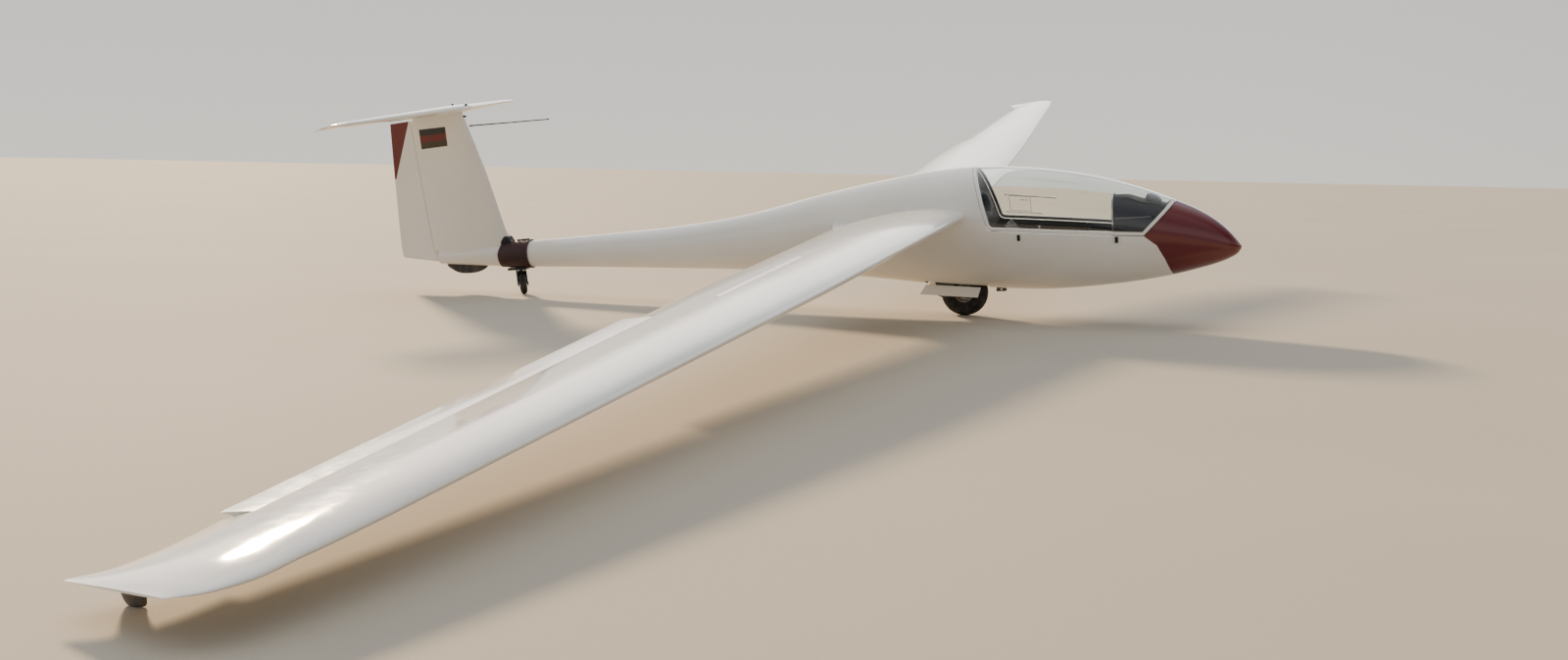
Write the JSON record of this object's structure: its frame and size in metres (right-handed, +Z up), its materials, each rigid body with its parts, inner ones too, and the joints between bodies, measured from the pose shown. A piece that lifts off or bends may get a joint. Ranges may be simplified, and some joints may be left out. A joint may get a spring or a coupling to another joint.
{
  "type": "single-seat sailplane glider",
  "caption": "T-tail glass-fibre sailplane with a side-hinged canopy, hinged control surfaces, airbrakes and a main wheel, parked on its tail dolly and one wing tip.",
  "frame": {"origin": "middle of the parked aircraft's footprint, on the ground", "axes": "+X forward towards the nose, level; +Y to the left wing, level; +Z up, with the aircraft banked and nose-up as it parks"},
  "size_m": [6.3766, 14.8628, 1.8554],
  "materials": {
    "gelcoat_white": "glossy white gelcoat on glass-fibre laminate",
    "canopy_acrylic": "clear acrylic, faintly tinted",
    "black_plastic": "moulded black plastic",
    "seat_laminate": "grey painted laminate",
    "black_fabric": "black woven covering",
    "rubber": "moulded black rubber",
    "tyre": "tyre rubber",
    "steel_grey": "grey painted steel",
    "steel_black": "black painted steel",
    "alloy": "cast aluminium alloy",
    "steel_bright": "bare steel",
    "maroon_laminate": "maroon painted laminate"
  },
  "bodies": {
    "airframe": {"fuselage_shell": "gelcoat_white", "cockpit_bulkhead": "black_plastic", "rear_canopy_hinge": "black_plastic", "front_canopy_hinge": "black_plastic", "seat_pan": "seat_laminate", "backrest": "black_fabric", "headrest": "black_fabric", "instrument_pod": "black_plastic", "instrument_panel": "black_plastic", "compass": "black_plastic", "control_stick": "black_plastic", "left_rudder_pedal": "steel_grey", "right_rudder_pedal": "steel_grey", "left_cockpit_rail": "black_plastic", "right_cockpit_rail": "black_plastic", "left_wing": "gelcoat_white", "right_wing": "gelcoat_white", "left_tip_skid": "rubber", "right_tip_skid": "rubber", "fin": "gelcoat_white", "tailplane": "gelcoat_white", "tail_bumper": "rubber", "total_energy_probe": "steel_black", "fin_probe_socket": "black_plastic", "main_axle": "steel_bright", "left_gear_leg": "steel_grey", "right_gear_leg": "steel_grey", "left_gear_door": "gelcoat_white", "right_gear_door": "gelcoat_white", "tow_hook": "steel_grey", "dolly_clamp_left": "maroon_laminate", "dolly_clamp_right": "maroon_laminate", "dolly_clamp_hinge": "black_plastic", "dolly_saddle": "steel_black"},
    "canopy": {"canopy_frame": "gelcoat_white", "canopy_glass": "canopy_acrylic", "vision_window": "canopy_acrylic", "vision_rail_top": "canopy_acrylic", "vision_rail_bottom": "canopy_acrylic"},
    "main_wheel": {"main_tyre": "tyre", "main_wheel_rim": "alloy"},
    "rudder_body": {"rudder": "gelcoat_white"},
    "elevator_left": {"left_elevator": "gelcoat_white"},
    "elevator_right": {"right_elevator": "gelcoat_white"},
    "aileron_left": {"left_aileron": "gelcoat_white"},
    "aileron_right": {"right_aileron": "gelcoat_white"},
    "airbrake_left": {"left_airbrake": "gelcoat_white"},
    "airbrake_right": {"right_airbrake": "gelcoat_white"},
    "dolly_caster": {"dolly_fork": "steel_black", "dolly_axle": "steel_bright"},
    "dolly_wheel": {"dolly_tyre": "tyre", "dolly_hub": "alloy"}
  },
  "joints": [
    {"name": "canopy_hinge", "type": "hinge", "parent": "airframe", "child": "canopy", "pos_m": [1.75736, -0.28082, 0.60766], "axis": [0.9982, 0.0605, -0.004], "range_deg": [0, 92]},
    {"name": "main_wheel_spin", "type": "hinge", "parent": "airframe", "child": "main_wheel", "pos_m": [1.34638, 0.09522, 0.16428], "axis": [0, 0.9932, 0.1162], "continuous": true},
    {"name": "rudder_hinge", "type": "hinge", "parent": "airframe", "child": "rudder_body", "pos_m": [-2.84979, 0.08839, 0.22274], "axis": [-0.1374, -0.115, 0.9838], "range_deg": [-28, 28]},
    {"name": "left_elevator_hinge", "type": "hinge", "parent": "airframe", "child": "elevator_left", "pos_m": [-2.87543, 0.01264, 1.38709], "axis": [-0.01, 0.9933, 0.1151], "range_deg": [-8, 37]},
    {"name": "right_elevator_hinge", "type": "hinge", "parent": "airframe", "child": "elevator_right", "pos_m": [-2.87543, -0.10655, 1.37315], "axis": [0.01, 0.9931, 0.1172], "range_deg": [-8, 37]},
    {"name": "right_aileron_hinge", "type": "hinge", "parent": "airframe", "child": "aileron_right", "pos_m": [0.6841, -4.09336, 0.33845], "axis": [-0.0247, 0.9969, 0.0743], "range_deg": [-24, 12]},
    {"name": "left_aileron_hinge", "type": "hinge", "parent": "airframe", "child": "aileron_left", "pos_m": [0.6841, 4.1306, 1.30018], "axis": [0.0247, 0.9872, 0.1577], "range_deg": [-9.6, 19.2]},
    {"name": "left_airbrake_slide", "type": "slide", "parent": "airframe", "child": "airbrake_left", "axis": [-0.088, -0.1507, 0.9847], "range_m": [0, 0.06]},
    {"name": "right_airbrake_slide", "type": "slide", "parent": "airframe", "child": "airbrake_right", "axis": [-0.088, -0.0806, 0.9929], "range_m": [0, 0.06]},
    {"name": "dolly_swivel", "type": "hinge", "parent": "airframe", "child": "dolly_caster", "pos_m": [-2.12743, 0.09217, 0.19042], "axis": [-0.088, -0.1157, 0.9894], "continuous": true},
    {"name": "dolly_wheel_spin", "type": "hinge", "parent": "dolly_caster", "child": "dolly_wheel", "pos_m": [-2.09398, 0.06675, 0.07917], "axis": [0.8448, 0.5177, 0.1357], "continuous": true}
  ],
  "couplings": [
    {"joint": "left_aileron_hinge", "follows": "right_aileron_hinge", "ratio": -0.8},
    {"joint": "right_elevator_hinge", "follows": "left_elevator_hinge", "ratio": 1},
    {"joint": "right_airbrake_slide", "follows": "left_airbrake_slide", "ratio": 1}
  ]
}
